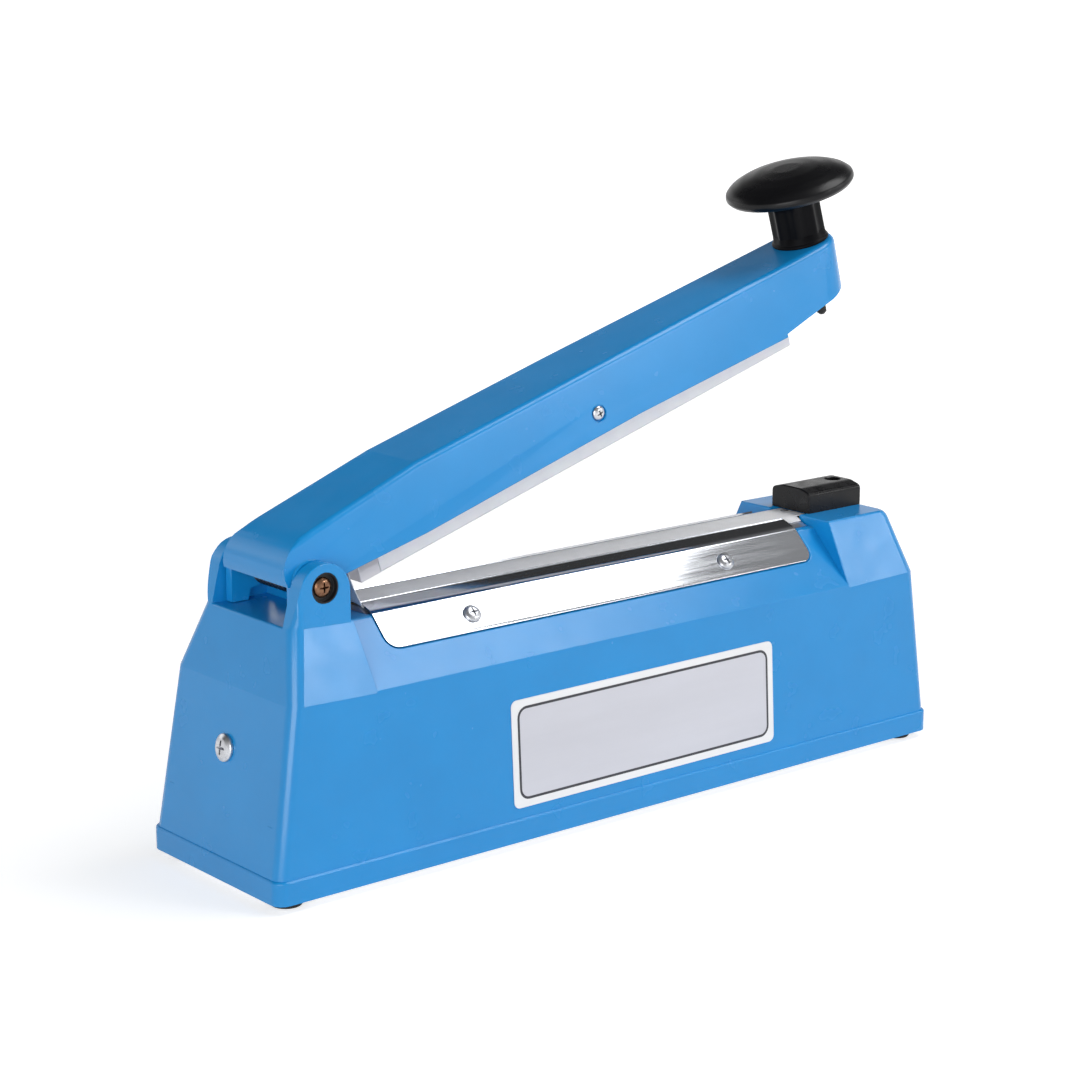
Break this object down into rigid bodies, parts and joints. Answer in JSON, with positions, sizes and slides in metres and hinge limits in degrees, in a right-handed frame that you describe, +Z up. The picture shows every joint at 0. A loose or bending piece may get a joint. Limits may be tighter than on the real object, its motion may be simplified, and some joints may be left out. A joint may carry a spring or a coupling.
{
  "type": "bag sealer",
  "caption": "Hand impulse sealer for plastic bags: long base with a clamped sealing bed, sprung arm with mushroom knob and pivoted press bar, and a sunk timer dial.",
  "frame": {"origin": "on the table, under the middle of the base", "axes": "+X along the base from the hinge end to the knob end, +Y across it towards the timer side, +Z up"},
  "size_m": [0.32, 0.0847, 0.2358],
  "materials": {
    "blue_plastic": "gloss",
    "black_plastic": "satin",
    "black_rubber": "matt",
    "polished_steel": "polished",
    "zinc_steel": "zinc plated",
    "spring_steel": "oiled",
    "aluminium": "mill",
    "brass": "bright",
    "cloth": "coated weave",
    "silicone": "satin",
    "fibre": "matt",
    "copper": "enamelled",
    "iron_core": "laminated",
    "board": "satin",
    "relay_blue": "gloss",
    "red_plastic": "gloss"
  },
  "bodies": {
    "base": {"base_housing": "blue_plastic", "label_plate": "aluminium", "base_plate": "zinc_steel", "foot_hinge_near": "black_rubber", "foot_hinge_far": "black_rubber", "foot_front_near": "black_rubber", "foot_front_far": "black_rubber", "foot_screw_hinge_near": "zinc_steel", "foot_screw_hinge_far": "zinc_steel", "foot_screw_front_near": "zinc_steel", "foot_screw_front_far": "zinc_steel", "bed_core": "aluminium", "insulation_strip": "fibre", "heating_band": "zinc_steel", "bed_cloth": "cloth", "side_plate_near": "polished_steel", "side_plate_far": "polished_steel", "plate_screw_near_hinge": "zinc_steel", "plate_screw_near_front": "zinc_steel", "plate_screw_far_hinge": "zinc_steel", "plate_screw_far_front": "zinc_steel", "terminal_hinge": "brass", "terminal_front": "brass", "switch_cover": "black_plastic", "microswitch_body": "black_plastic", "switch_bracket": "zinc_steel", "hinge_bolt": "zinc_steel", "hinge_nut": "zinc_steel", "return_spring": "spring_steel", "end_screw": "zinc_steel", "end_nut": "zinc_steel", "transformer_core": "iron_core", "transformer_winding": "copper", "transformer_strap": "zinc_steel", "strap_screw_hinge": "zinc_steel", "strap_screw_front": "zinc_steel", "timer_control": "zinc_steel", "timer_nut": "zinc_steel", "timer_board": "board", "relay": "relay_blue", "capacitor": "black_plastic", "indicator_lamp": "red_plastic", "fuse_holder": "black_plastic", "cord_gland": "black_plastic", "gland_nut": "black_plastic"},
    "arm": {"arm_shell": "blue_plastic", "press_knob": "black_plastic", "knob_screw": "zinc_steel", "switch_pin": "black_plastic", "pivot_screw": "zinc_steel", "pivot_nut": "zinc_steel"},
    "press_bar": {"bar_holder": "aluminium", "silicone_strip": "silicone"},
    "timer_dial": {"timer_knob": "black_plastic", "timer_shaft": "zinc_steel"},
    "switch_button": {"microswitch_button": "red_plastic"}
  },
  "joints": [
    {"name": "arm_hinge", "type": "hinge", "parent": "base", "child": "arm", "pos_m": [-0.1294, 0, 0.107], "axis": [0, 1, 0], "range_deg": [0, 15.35], "stiffness_Nm_per_rad": 0.9, "springref_deg": -34.38, "deforming": ["return_spring"]},
    {"name": "bar_rock", "type": "hinge", "parent": "arm", "child": "press_bar", "pos_m": [0.00044, 0, 0.15042], "axis": [0, 1, 0], "range_deg": [0, 1.41]},
    {"name": "timer_turn", "type": "hinge", "parent": "base", "child": "timer_dial", "pos_m": [0.098, 0.04, 0.04], "axis": [0, 1, 0], "range_deg": [0, 300]},
    {"name": "switch_press", "type": "slide", "parent": "base", "child": "switch_button", "axis": [0, 0, -1], "range_m": [0, 0.001], "stiffness_N_per_m": 400, "springref_m": -0.002}
  ],
  "couplings": [
    {"joint": "bar_rock", "follows": "arm_hinge", "ratio": 0.0912}
  ]
}
